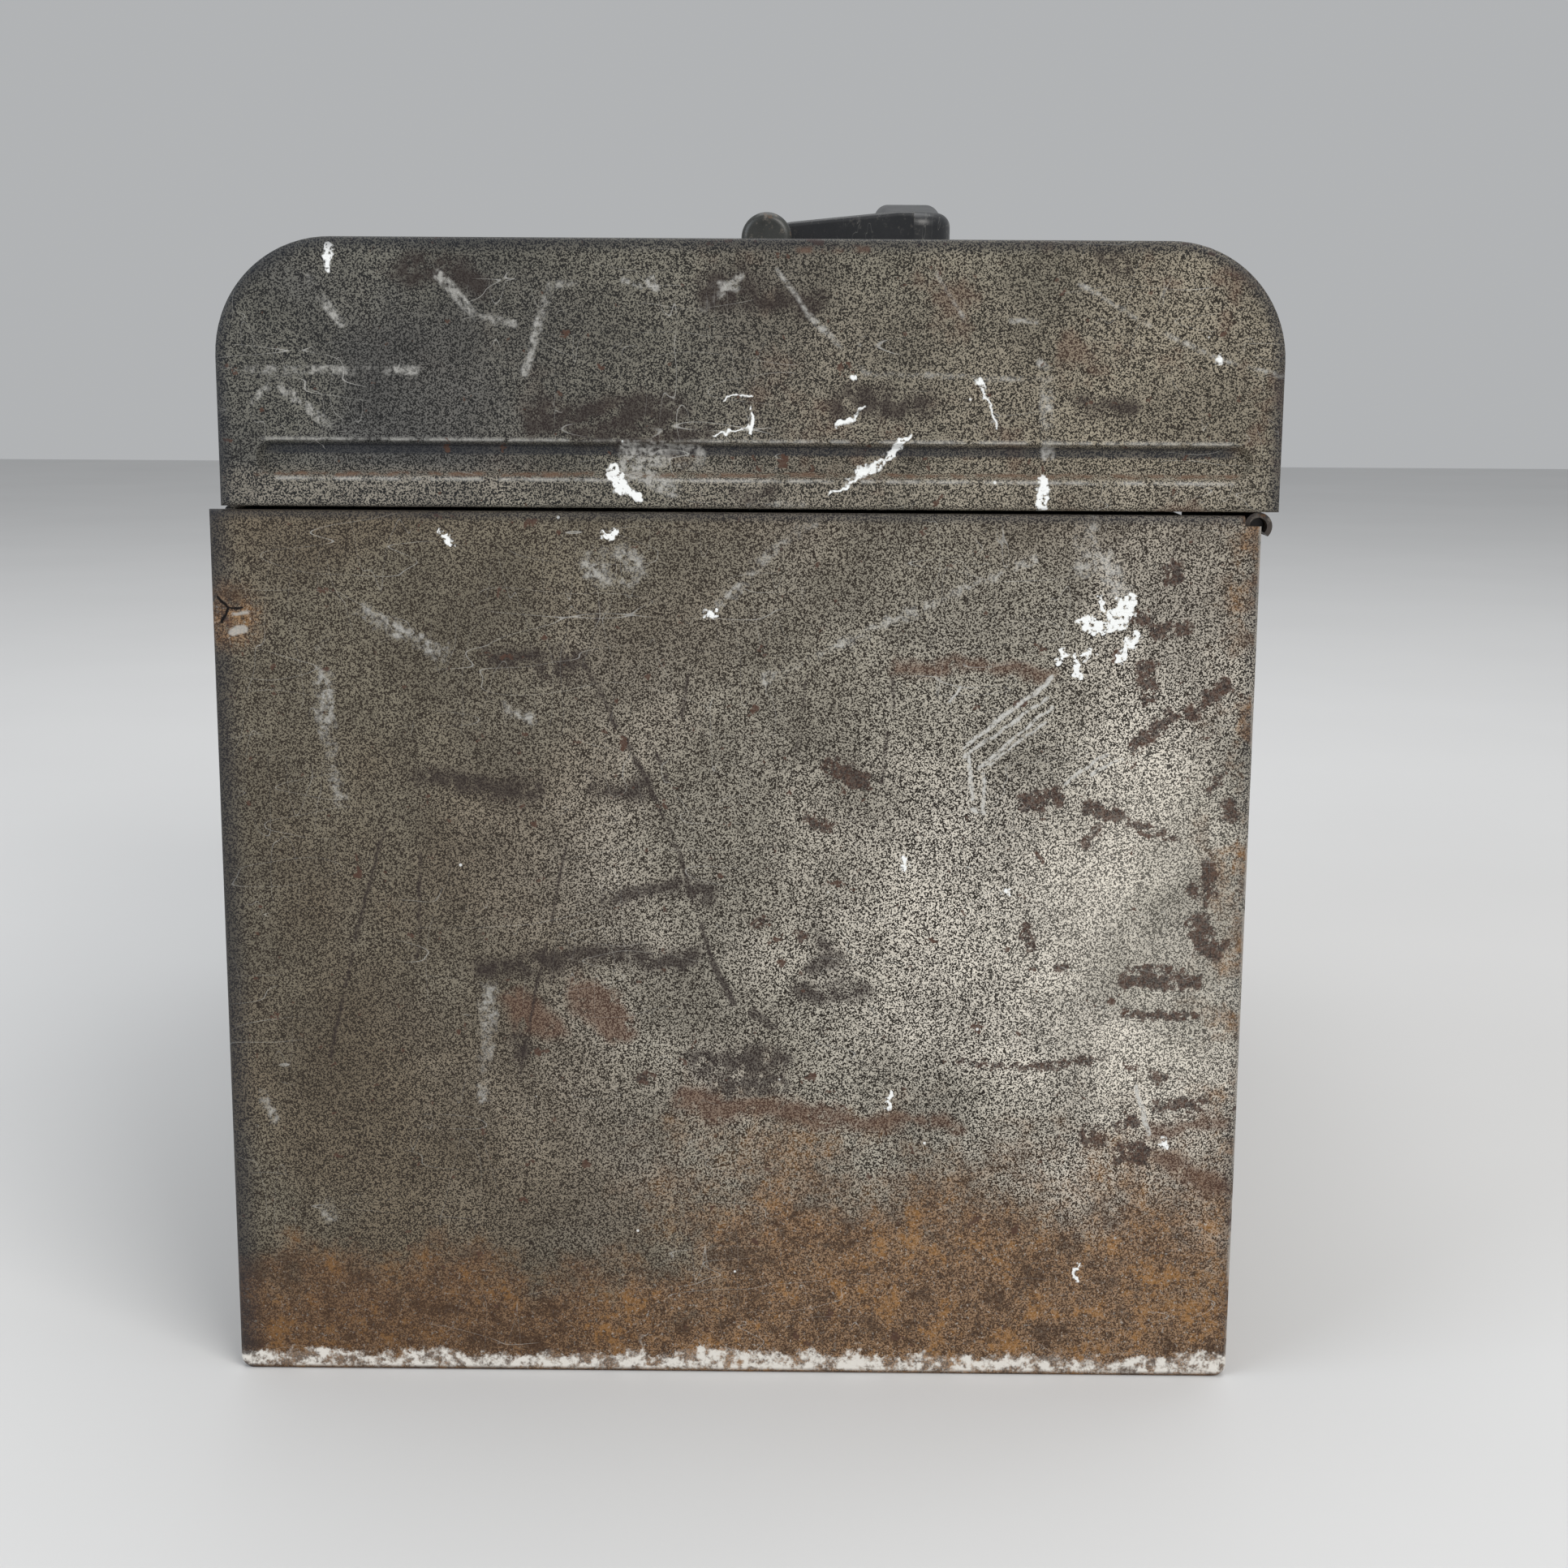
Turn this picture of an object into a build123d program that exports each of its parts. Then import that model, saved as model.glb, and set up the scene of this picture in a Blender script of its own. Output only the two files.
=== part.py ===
"""A painted sheet-steel lunch box with a hinged lid, a folding handle and two clasps.

Millimetres, +Z up. The origin is the centre of the bottom face. The front, which carries the
clasps, faces -X; the hinge runs along the rear at +X; the two end panels face -Y (right) and
+Y (left).
"""
import os
from math import cos, radians, sin

from build123d import *

# Box
SHEET = 0.9
WIDTH = 203.0
LENGTH = 330.0
BODY_HEIGHT = 176.5
LID_HEIGHT = 50.8
PARTING_GAP = 0.7
LID_FRONT = -99.2
LID_REAR = 104.7
BOTTOM_RADIUS = 2.6
SHOULDER_RADIUS = 22.5
PAN_FLANGE = 12.0
LIP = 2 * SHEET
LIP_ROUND = 1.0
HEM_GAP = 0.3
HEM_DEPTH = 11.0
END_HEM_DEPTH = 4.0
REAR_WALL_TOP = 170.0

# Groove pressed across each end of the lid
GROOVE_WIDTH = 6.8
GROOVE_DEPTH = 1.5
GROOVE_HEIGHT = 9.3
GROOVE_DRAFT = 35.0
GROOVE_FRONT = LID_FRONT + 7.3
GROOVE_REAR = LID_REAR - 5.4

# Hinge
LEAF = 1.0
KNUCKLE_RADIUS = 2.7
KNUCKLE_COUNT = 13
KNUCKLE_GAP = 0.3
CURL_END = 45.0
PIN_RADIUS = 1.62
PIN_INSET = 4.0
HINGE_X = LID_REAR - SHEET - KNUCKLE_RADIUS
HINGE_Z = 174.4
LEAF_RELIEF = KNUCKLE_RADIUS + 0.5
BODY_LEAF_FOOT = 158.5
LID_LEAF_TOP = 193.0
NOTCH_WIDTH = 3.3
NOTCH_DEPTH = 2.0
HINGE_RIVETS = 6
BODY_RIVET_Z = 163.5
LID_RIVET_Z = 186.0

# Rivets
RIVET_SHANK = 1.5
RIVET_HOLE = 1.55
RIVET_HEAD_RADIUS = 3.0
RIVET_HEAD = 1.3
RIVET_TAIL_RADIUS = 2.5
RIVET_TAIL = 0.9
RIVET_SPREAD = 6.5

# Handle, folded towards the rear
HANDLE_X = 4.5
HANDLE_RISE = 4.5
HANDLE_SPAN = 130.0
HANDLE_REACH = 42.5
ARM_WIDTH = 9.0
HUB_RADIUS = 4.2
GRIP_DEPTH = 16.0
GRIP_FLOOR = 1.0
ARM_TOP = 11.3
ARM_NECK = 8.8
GRIP_TOP = 16.6
GRIP_SWELL = 54.0
GRIP_EDGE = 3.6
HANDLE_CORNER = 9.0
ARM_EDGE = 1.2
HANDLE_PIN_RADIUS = 2.0
HANDLE_PIN_HEAD_RADIUS = 3.2
HANDLE_PIN_HEAD = 1.5
SADDLE_RADIUS = 5.7
SADDLE_DEPTH = 12.0
SADDLE_SHEET = 1.2
SADDLE_FOOT = 9.0
SADDLE_GAP = 0.5
SADDLE_EDGE = 1.8
FOOT_INSET = 1.5
PLATE = 1.5
PLATE_CORNER = 3.0

# Clasps on the front
CLASP_Y = 90.0
CLASP_STANDOFF = 4.5
CLASP_Z = 156.5
CLASP_SHEET = 1.2
CLASP_WIDTH = 18.0
CLASP_LENGTH = 40.0
CLASP_FLARE = 2.6
CLASP_GAP = 0.3
CLASP_BARREL = 2.7
CLASP_CORNER = 3.0
CLASP_PIN_RADIUS = 1.4
CLASP_PIN_HEAD_RADIUS = 2.2
CLASP_PIN_HEAD = 0.8
HOOK_REACH = 33.0
HOOK_DEPTH = 4.0
HOOK_WIDTH = 12.0
HOOK_CLEARANCE = 0.3
BASE_WIDTH = 24.0
BASE_TOP = 4.0
BASE_FOOT = 24.0
BASE_CORNER = 2.0
BASE_RIVET_DROPS = (9.5, 18.5)
STRIKE_WIDTH = 22.0
STRIKE_FOOT = 3.0
STRIKE_LEDGE = 5.4

# Play between a pin and what turns on it
PIN_FIT = 0.07

# Values that follow
FRONT_X = -WIDTH / 2
REAR_X = WIDTH / 2
LID_FLOOR = BODY_HEIGHT + PARTING_GAP
LID_TOP = LID_FLOOR + LID_HEIGHT
HEM_STEP = SHEET + HEM_GAP
HEM_CROWN = (HEM_STEP + SHEET) / 2
HEM_RUN = LENGTH - 2 * (PAN_FLANGE + 1)
WRAPPER_LENGTH = LENGTH - 2 * LIP
BARREL_LENGTH = WRAPPER_LENGTH
PITCH = BARREL_LENGTH / KNUCKLE_COUNT
HANDLE_Z = LID_TOP + HANDLE_RISE
GRIP_NEAR = HANDLE_X + HANDLE_REACH - GRIP_DEPTH
SADDLE_Y = HANDLE_SPAN / 2 + SADDLE_GAP + SADDLE_DEPTH / 2
CLASP_X = FRONT_X - CLASP_STANDOFF
LEDGE_TOP = CLASP_Z + HOOK_REACH - HOOK_CLEARANCE
SIDES = {"right": -1, "left": 1}


def save(piece, name):
    """Labels a finished piece and writes its STEP file."""
    piece.part.label = name
    export_step(piece.part, f"parts/{name}.step")


def across(y):
    """The X-Z plane at the station y along the box."""
    return Plane.XZ.offset(-y)


def facing(x, y, z, direction):
    """A plane at a point, with its normal along direction."""
    return Plane(origin=(x, y, z), z_dir=direction)


def slab(low, high, mode=Mode.ADD):
    """A block between two corners, for cut-outs and flat strips."""
    size = [b - a for a, b in zip(low, high)]
    centre = [(a + b) / 2 for a, b in zip(low, high)]
    with Locations(tuple(centre)):
        Box(*size, mode=mode)


# Rivets. Each seat is a plane on the outermost sheet, facing away from the sheets it joins.


def hinge_seats(x, z):
    """Evenly spaced seats along the hinge, on a face that looks to the rear."""
    step = HEM_RUN / HINGE_RIVETS
    stations = [step * (n - (HINGE_RIVETS - 1) / 2) for n in range(HINGE_RIVETS)]
    return [facing(x, y, z, (1, 0, 0)) for y in stations]


def body_hinge_seats():
    """Seats of the rivets through the body's hinge leaf."""
    return hinge_seats(REAR_X, BODY_RIVET_Z)


def lid_hinge_seats():
    """Seats of the rivets through the lid's hinge leaf."""
    return hinge_seats(LID_REAR, LID_RIVET_Z)


def saddle_seats(sign):
    """One seat on each foot of a handle saddle."""
    reach = SADDLE_RADIUS + SADDLE_FOOT / 2
    return [
        facing(HANDLE_X + dx, sign * SADDLE_Y, LID_TOP + SADDLE_SHEET, (0, 0, 1))
        for dx in (-reach, reach)
    ]


def base_seats(sign):
    """Four seats on a latch base, below its ears."""
    return [
        facing(FRONT_X - CLASP_SHEET, sign * CLASP_Y + dy, CLASP_Z - drop, (-1, 0, 0))
        for dy in (-RIVET_SPREAD, RIVET_SPREAD)
        for drop in BASE_RIVET_DROPS
    ]


def strike_seats(sign):
    """Two seats on a strike, below its ledge."""
    z = (LID_FLOOR + STRIKE_FOOT + LEDGE_TOP - CLASP_SHEET) / 2
    return [
        facing(LID_FRONT - CLASP_SHEET, sign * CLASP_Y + dy, z, (-1, 0, 0))
        for dy in (-RIVET_SPREAD, RIVET_SPREAD)
    ]


def both_ends(seats):
    """The seats of the right and the left end in one list."""
    return seats(-1) + seats(1)


def drill(seats, depth):
    """Cuts a rivet hole below each seat, through the piece being built."""
    for seat in seats:
        with BuildSketch(seat) as hole:
            Circle(RIVET_HOLE)
        extrude(hole.sketch, amount=-depth, mode=Mode.SUBTRACT)


def make_rivet(grip):
    """One rivet: domed head above the X-Y plane, shank and upset tail below it."""
    with BuildPart() as rivet:
        Cylinder(RIVET_HEAD_RADIUS, RIVET_HEAD, align=(Align.CENTER, Align.CENTER, Align.MIN))
        fillet(rivet.edges().sort_by(Axis.Z)[-1], radius=RIVET_HEAD - 0.1)
        Cylinder(RIVET_SHANK, grip, align=(Align.CENTER, Align.CENTER, Align.MAX))
        with Locations((0, 0, -grip)):
            Cylinder(RIVET_TAIL_RADIUS, RIVET_TAIL, align=(Align.CENTER, Align.CENTER, Align.MAX))
    return rivet.part


def rivets(name, seats, grip):
    """A group of equal rivets, one on each seat."""
    rivet = make_rivet(grip)
    with BuildPart() as group:
        for seat in seats:
            add(seat.location * rivet)
    save(group, name)


# Body and lid


def hem(x, z, run, up=1, inward=1):
    """Folds a wall's free edge over, towards inward (+1 or -1 along X).

    x is the wall's middle plane and z the crown of the fold; up is -1 for a lower edge.
    """
    root = z - up * HEM_CROWN
    crown = (x + inward * HEM_STEP / 2, root + up * HEM_STEP / 2)
    fold = x + inward * HEM_STEP
    with BuildSketch(Plane.XZ) as section:
        with BuildLine():
            ThreePointArc((x, root), crown, (fold, root))
            Line((fold, root), (fold, root - up * HEM_DEPTH))
        trace(line_width=SHEET)
    extrude(section.sketch, amount=run / 2, both=True)


def outermost(faces, sign):
    """The face furthest along Y on the side that sign names."""
    return faces.sort_by(Axis.Y)[-1 if sign > 0 else 0]


def body_wrapper():
    """Front wall, bottom and rear wall folded from one sheet, with hemmed top edges."""
    front = FRONT_X + SHEET / 2
    rear = REAR_X - SHEET / 2
    with BuildPart() as wrapper:
        with BuildSketch(Plane.XZ):
            with BuildLine():
                FilletPolyline(
                    (front, BODY_HEIGHT - HEM_CROWN),
                    (front, SHEET / 2),
                    (rear, SHEET / 2),
                    (rear, REAR_WALL_TOP - HEM_CROWN),
                    radius=BOTTOM_RADIUS - SHEET / 2,
                )
            trace(line_width=SHEET)
        extrude(amount=WRAPPER_LENGTH / 2, both=True)
        hem(front, BODY_HEIGHT, HEM_RUN)
        hem(rear, REAR_WALL_TOP, HEM_RUN, inward=-1)
        drill(body_hinge_seats(), 2 * HEM_STEP)
        drill(both_ends(base_seats), 2 * HEM_STEP)
    save(wrapper, "body_wrapper")


def body_outline(inset, edge):
    """Outline of a body end, moved inwards by inset, and by edge at the parting line."""
    half = WIDTH / 2 - inset
    top = BODY_HEIGHT - edge
    corners = [(-half, top), (-half, inset), (half, inset), (half, top)]
    return closed_outline(corners, BOTTOM_RADIUS - inset)


def lid_outline(inset, edge):
    """Outline of a lid end, moved inwards by inset, and by edge at the parting line."""
    front = LID_FRONT + inset
    rear = LID_REAR - inset
    top = LID_TOP - inset
    bottom = LID_FLOOR + edge
    corners = [(front, bottom), (front, top), (rear, top), (rear, bottom)]
    return closed_outline(corners, SHOULDER_RADIUS - inset)


def closed_outline(corners, radius):
    """Face inside a line through the corners, rounded where it turns."""
    with BuildSketch() as sketch:
        with BuildLine():
            FilletPolyline(*corners, radius=max(radius, SHEET))
            Line(corners[-1], corners[0])
        make_face()
    return sketch.sketch


def end_pan(sign, outline):
    """An end panel: folded lip all round, and flanges that fit inside the wrapper.

    The lip covers the wrapper's cut edge, and along the parting line it is the panel's hem.
    """
    with BuildPart() as pan:
        for inset, edge, start, stop, mode in (
            (0, 0, 0, LIP, Mode.ADD),
            (SHEET, HEM_CROWN, LIP, PAN_FLANGE, Mode.ADD),
            (2 * SHEET, END_HEM_DEPTH, SHEET, LIP, Mode.SUBTRACT),
            (2 * SHEET, 0, LIP, PAN_FLANGE, Mode.SUBTRACT),
        ):
            with BuildSketch(across(sign * (LENGTH / 2 - start))) as section:
                add(outline(inset, edge))
            extrude(section.sketch, amount=sign * (stop - start), mode=mode)
        fillet(outermost(pan.faces(), sign).edges(), radius=LIP_ROUND)
    return pan.part


def body_end(side, sign):
    """Body end panel, with room for the hinge."""
    inside = sign * (LENGTH / 2 - SHEET)
    depth = sign * (LENGTH / 2 - PAN_FLANGE)
    with BuildPart() as pan:
        add(end_pan(sign, body_outline))
        slab((HINGE_X - LEAF_RELIEF, min(inside, depth), REAR_WALL_TOP),
             (REAR_X, max(inside, depth), BODY_HEIGHT), mode=Mode.SUBTRACT)
        slab((REAR_X - NOTCH_WIDTH, -LENGTH, BODY_HEIGHT - NOTCH_DEPTH),
             (REAR_X, LENGTH, BODY_HEIGHT), mode=Mode.SUBTRACT)
    save(pan, f"body_end_{side}")


def lid_wrapper():
    """Front wall, top and rear wall of the lid rolled from one sheet."""
    front = LID_FRONT + SHEET / 2
    rear = LID_REAR - SHEET / 2
    top = LID_TOP - SHEET / 2
    with BuildPart() as wrapper:
        with BuildSketch(Plane.XZ):
            with BuildLine():
                FilletPolyline(
                    (front, LID_FLOOR + HEM_CROWN),
                    (front, top),
                    (rear, top),
                    (rear, LID_FLOOR),
                    radius=SHOULDER_RADIUS - SHEET / 2,
                )
            trace(line_width=SHEET)
        extrude(amount=WRAPPER_LENGTH / 2, both=True)
        hem(front, LID_FLOOR, HEM_RUN, up=-1)
        drill(lid_hinge_seats(), 2 * HEM_STEP)
        drill(both_ends(strike_seats), 2 * HEM_STEP + CLASP_SHEET)
        drill(both_ends(saddle_seats), 2 * HEM_STEP)
    save(wrapper, "lid_wrapper")


def groove(sign):
    """Presses the cross groove into a lid end, with its bead standing up inside."""
    middle = (GROOVE_FRONT + GROOVE_REAR) / 2
    run = GROOVE_REAR - GROOVE_FRONT
    bead = (SHEET, GROOVE_DEPTH + SHEET, Mode.ADD)
    hollow = (0, GROOVE_DEPTH, Mode.SUBTRACT)
    for margin, depth, mode in (bead, hollow):
        with BuildSketch(across(sign * LENGTH / 2)) as outline:
            with Locations((middle, LID_FLOOR + GROOVE_HEIGHT)):
                SlotOverall(run + 2 * margin, GROOVE_WIDTH + 2 * margin)
        extrude(outline.sketch, amount=sign * depth, taper=GROOVE_DRAFT, mode=mode)


def lid_end(side, sign):
    """Lid end panel: round-shouldered, with the pressed groove."""
    with BuildPart() as pan:
        add(end_pan(sign, lid_outline))
        groove(sign)
    save(pan, f"lid_end_{side}")


# Hinge


def knuckle_stations(first):
    """Middles of every second knuckle along the barrel, starting from knuckle number first."""
    return [PITCH * (n - (KNUCKLE_COUNT - 1) / 2) for n in range(first, KNUCKLE_COUNT, 2)]


def leaf(name, first, toward, edge, run, seats):
    """One hinge leaf: a strip against the wall and its knuckles curled round the pin.

    toward is the side of the pin that the strip lies on, along X, and edge its far edge. Each
    curl leaves the strip, goes over the pin and stops short of closing.
    """
    up = 1 if edge > HINGE_Z else -1
    outer = HINGE_X + toward * KNUCKLE_RADIUS
    inner = outer - toward * LEAF
    strip = (min(outer, inner), max(outer, inner))
    relief = HINGE_Z + up * LEAF_RELIEF
    tab = abs(relief - HINGE_Z)
    far = 2 * KNUCKLE_RADIUS
    mouth = [(0, 0), (far * cos(radians(CURL_END)), -far * sin(radians(CURL_END))), (0, -far),
             (-far, -far), (-far, 0)]
    with BuildPart() as plate:
        slab((strip[0], -run / 2, min(relief, edge)), (strip[1], run / 2, max(relief, edge)))
        for y in knuckle_stations(first):
            with BuildSketch(across(y)):
                with Locations((HINGE_X, HINGE_Z)):
                    Circle(KNUCKLE_RADIUS)
                    Circle(KNUCKLE_RADIUS - LEAF, mode=Mode.SUBTRACT)
                    mirrored = [(-toward * x, -toward * z) for x, z in mouth]
                    Polygon(*mirrored, align=None, mode=Mode.SUBTRACT)
                with Locations(((outer + inner) / 2, (HINGE_Z + relief) / 2)):
                    Rectangle(LEAF, tab)
            extrude(amount=(PITCH - KNUCKLE_GAP) / 2, both=True)
        drill(seats, 4 * HEM_STEP)
    save(plate, name)


def hinge():
    """Both leaves, their rivets and the pin."""
    leaf("hinge_leaf_body", 0, -1, BODY_LEAF_FOOT, BARREL_LENGTH, body_hinge_seats())
    leaf("hinge_leaf_lid", 1, 1, LID_LEAF_TOP, HEM_RUN, lid_hinge_seats())
    with BuildPart() as pin:
        with BuildSketch(Plane.XZ):
            with Locations((HINGE_X, HINGE_Z)):
                Circle(PIN_RADIUS)
        extrude(amount=BARREL_LENGTH / 2 - PIN_INSET, both=True)
    save(pin, "hinge_pin")
    rivets("hinge_rivets_body", body_hinge_seats(), SHEET + HEM_STEP + LEAF)
    rivets("hinge_rivets_lid", lid_hinge_seats(), SHEET + LEAF)


# Handle


def handle_arm(sign):
    """One arm: a hub round the pin and a flat lever that runs into the grip."""
    floor = LID_TOP + GRIP_FLOOR
    neck = HANDLE_X + SADDLE_RADIUS
    root = GRIP_NEAR + GRIP_EDGE
    with BuildPart() as arm:
        with BuildSketch(across(sign * (HANDLE_SPAN - ARM_WIDTH) / 2)):
            with BuildLine():
                Polyline(
                    (HANDLE_X, HANDLE_Z + HUB_RADIUS - 1),
                    (neck, LID_TOP + ARM_NECK),
                    (root, LID_TOP + ARM_TOP),
                    (root + GRIP_EDGE, LID_TOP + ARM_TOP),
                    (root + GRIP_EDGE, floor),
                    (neck, floor),
                    (HANDLE_X, HANDLE_Z - HUB_RADIUS + 1),
                    close=True,
                )
            make_face()
            with Locations((HANDLE_X, HANDLE_Z)):
                Circle(HUB_RADIUS)
        extrude(amount=ARM_WIDTH / 2, both=True)
        rim = arm.faces().filter_by(Axis.Y).edges()
        fillet(rim.filter_by(lambda edge: edge.center().X < root + 2), radius=ARM_EDGE)
    return arm.part


def handle_grip():
    """The moulding: a swelling grip and two flat arms, folded down on the lid."""
    floor = LID_TOP + GRIP_FLOOR
    crown = LID_TOP + GRIP_TOP
    shoulder = LID_TOP + ARM_TOP
    end = HANDLE_SPAN / 2
    with BuildPart() as handle:
        with BuildSketch(Plane.YZ.offset(GRIP_NEAR)):
            with BuildLine():
                Polyline((-GRIP_SWELL, shoulder), (-end, shoulder), (-end, floor),
                         (end, floor), (end, shoulder), (GRIP_SWELL, shoulder))
                Spline((GRIP_SWELL, shoulder), (0, crown), (-GRIP_SWELL, shoulder),
                       tangents=[(-1, 0), (-1, 0)])
            make_face()
        extrude(amount=GRIP_DEPTH)
        fillet(handle.edges().filter_by(Axis.Z).sort_by(Axis.X)[-2:], radius=HANDLE_CORNER)
        rims = handle.edges().filter_by(Axis.Z, reverse=True)
        fillet(rims.filter_by(lambda edge: not starts_swell(edge)), radius=GRIP_EDGE - 0.4)
        for sign in SIDES.values():
            add(handle_arm(sign))
        with BuildSketch(Plane.XZ):
            with Locations((HANDLE_X, HANDLE_Z)):
                Circle(HANDLE_PIN_RADIUS)
        extrude(amount=HANDLE_SPAN, both=True, mode=Mode.SUBTRACT)
    save(handle, "handle_grip")


def starts_swell(edge):
    """True for the two edges across the grip where its swell begins."""
    return abs(edge.tangent_at(0.5).X) > 0.9 and abs(abs(edge.center().Y) - GRIP_SWELL) < 0.1


def handle_pins():
    """Two headed steel pins, moulded into the arms and turning in the saddles."""
    with BuildPart() as pins:
        for sign in SIDES.values():
            arm_face = HANDLE_SPAN / 2
            wall = arm_face + SADDLE_GAP + SADDLE_SHEET
            for radius, start, stop in (
                (HANDLE_PIN_RADIUS, arm_face - ARM_WIDTH, wall + SADDLE_GAP),
                (HANDLE_PIN_HEAD_RADIUS, wall + SADDLE_GAP, wall + SADDLE_GAP + HANDLE_PIN_HEAD),
            ):
                with BuildSketch(across(sign * start)):
                    with Locations((HANDLE_X, HANDLE_Z)):
                        Circle(radius)
                extrude(amount=-sign * (stop - start))
    save(pins, "handle_pins")


def handle_saddle(side, sign):
    """Pressed half-round cup over the pin's head, with a riveted foot each way."""
    inner_face = sign * (HANDLE_SPAN / 2 + SADDLE_GAP)
    with BuildPart() as saddle:
        with BuildSketch(across(inner_face)):
            with Locations((HANDLE_X, HANDLE_Z)):
                Circle(SADDLE_RADIUS)
            with Locations((HANDLE_X, LID_TOP - SADDLE_RADIUS)):
                Rectangle(3 * SADDLE_RADIUS, 2 * SADDLE_RADIUS, mode=Mode.SUBTRACT)
            with Locations((HANDLE_X, LID_TOP + HANDLE_RISE / 2)):
                Rectangle(2 * SADDLE_RADIUS, HANDLE_RISE)
        extrude(amount=-sign * SADDLE_DEPTH)
        outer_rim = outermost(saddle.faces(), sign).edges().sort_by(Axis.Z)[1:]
        fillet(outer_rim, radius=SADDLE_EDGE)
        offset(amount=-SADDLE_SHEET, openings=saddle.faces().sort_by(Axis.Z)[0])
        for toward in (-1, 1):
            root = HANDLE_X + toward * (SADDLE_RADIUS - SADDLE_SHEET)
            tip = HANDLE_X + toward * (SADDLE_RADIUS + SADDLE_FOOT)
            half = SADDLE_DEPTH / 2 - FOOT_INSET
            slab((min(root, tip), sign * SADDLE_Y - half, LID_TOP),
                 (max(root, tip), sign * SADDLE_Y + half, LID_TOP + SADDLE_SHEET))
        with BuildSketch(across(inner_face)):
            with Locations((HANDLE_X, HANDLE_Z)):
                Circle(HANDLE_PIN_RADIUS + PIN_FIT)
        extrude(amount=-sign * 2 * SADDLE_SHEET, mode=Mode.SUBTRACT)
        drill(saddle_seats(sign), 2 * SADDLE_SHEET)
    save(saddle, f"handle_saddle_{side}")


def handle_plate(side, sign):
    """Stiffening plate inside the lid, under a saddle."""
    reach = SADDLE_RADIUS + SADDLE_FOOT
    ceiling = LID_TOP - SHEET
    with BuildPart() as plate:
        slab((HANDLE_X - reach, sign * SADDLE_Y - SADDLE_DEPTH / 2, ceiling - PLATE),
             (HANDLE_X + reach, sign * SADDLE_Y + SADDLE_DEPTH / 2, ceiling))
        fillet(plate.edges().filter_by(Axis.Z), radius=PLATE_CORNER)
        drill(saddle_seats(sign), 4 * SADDLE_SHEET)
    save(plate, f"handle_plate_{side}")


# Clasps


def latch_base(side, sign):
    """Plate riveted to the front wall, with two ears that carry the clasp's pin."""
    y = sign * CLASP_Y
    ear_inner = CLASP_WIDTH / 2 + CLASP_GAP
    with BuildPart() as base:
        slab((FRONT_X - CLASP_SHEET, y - BASE_WIDTH / 2, CLASP_Z - BASE_FOOT),
             (FRONT_X, y + BASE_WIDTH / 2, CLASP_Z + BASE_TOP))
        fillet(base.edges().filter_by(Axis.X), radius=BASE_CORNER)
        for ear in (-1, 1):
            with BuildSketch(across(y + ear * (ear_inner + CLASP_SHEET / 2))):
                with Locations((CLASP_X, CLASP_Z)):
                    Circle(BASE_TOP)
                with Locations(((CLASP_X + FRONT_X - CLASP_SHEET) / 2, CLASP_Z)):
                    Rectangle(CLASP_STANDOFF - CLASP_SHEET, 2 * BASE_TOP)
                with Locations((FRONT_X - CLASP_SHEET + BASE_TOP, CLASP_Z)):
                    Rectangle(2 * BASE_TOP, 4 * BASE_TOP, mode=Mode.SUBTRACT)
                with Locations((CLASP_X, CLASP_Z)):
                    Circle(CLASP_PIN_RADIUS, mode=Mode.SUBTRACT)
            extrude(amount=CLASP_SHEET / 2, both=True)
        drill(base_seats(sign), 2 * CLASP_SHEET)
    save(base, f"latch_base_{side}")


def clasp(side, sign):
    """The clasp, hanging open: barrel at the top, then plate, hook and flared thumb edge."""
    y = sign * CLASP_Y
    bend = (CLASP_X, CLASP_Z - HOOK_REACH - 2 * CLASP_SHEET)
    with BuildPart() as plate:
        with BuildSketch(across(y)):
            with BuildLine():
                Polyline(
                    (CLASP_X, CLASP_Z - CLASP_BARREL + CLASP_SHEET / 2),
                    bend,
                    (CLASP_X + CLASP_FLARE, CLASP_Z - CLASP_LENGTH),
                )
            trace(line_width=CLASP_SHEET)
        extrude(amount=CLASP_WIDTH / 2, both=True)
        tip = plate.edges().filter_by(Axis.X, reverse=True).filter_by(Axis.Y, reverse=True)
        fillet(tip.sort_by(Axis.Z)[:2], radius=CLASP_CORNER)
        with BuildSketch(across(y)):
            with Locations((CLASP_X, CLASP_Z)):
                Circle(CLASP_BARREL)
        extrude(amount=CLASP_WIDTH / 2, both=True)
        with BuildSketch(across(y)):
            with Locations((CLASP_X, CLASP_Z)):
                Circle(CLASP_PIN_RADIUS + PIN_FIT)
        extrude(amount=CLASP_WIDTH, both=True, mode=Mode.SUBTRACT)
        face = CLASP_X - CLASP_SHEET / 2
        hook_top = CLASP_Z - HOOK_REACH
        slab((face - HOOK_DEPTH, y - HOOK_WIDTH / 2, hook_top - CLASP_SHEET),
             (face, y + HOOK_WIDTH / 2, hook_top))
        slab((face, y - HOOK_WIDTH / 2, hook_top),
             (face + CLASP_SHEET, y + HOOK_WIDTH / 2, hook_top + HOOK_DEPTH - CLASP_SHEET),
             mode=Mode.SUBTRACT)
    save(plate, f"clasp_{side}")


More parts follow.
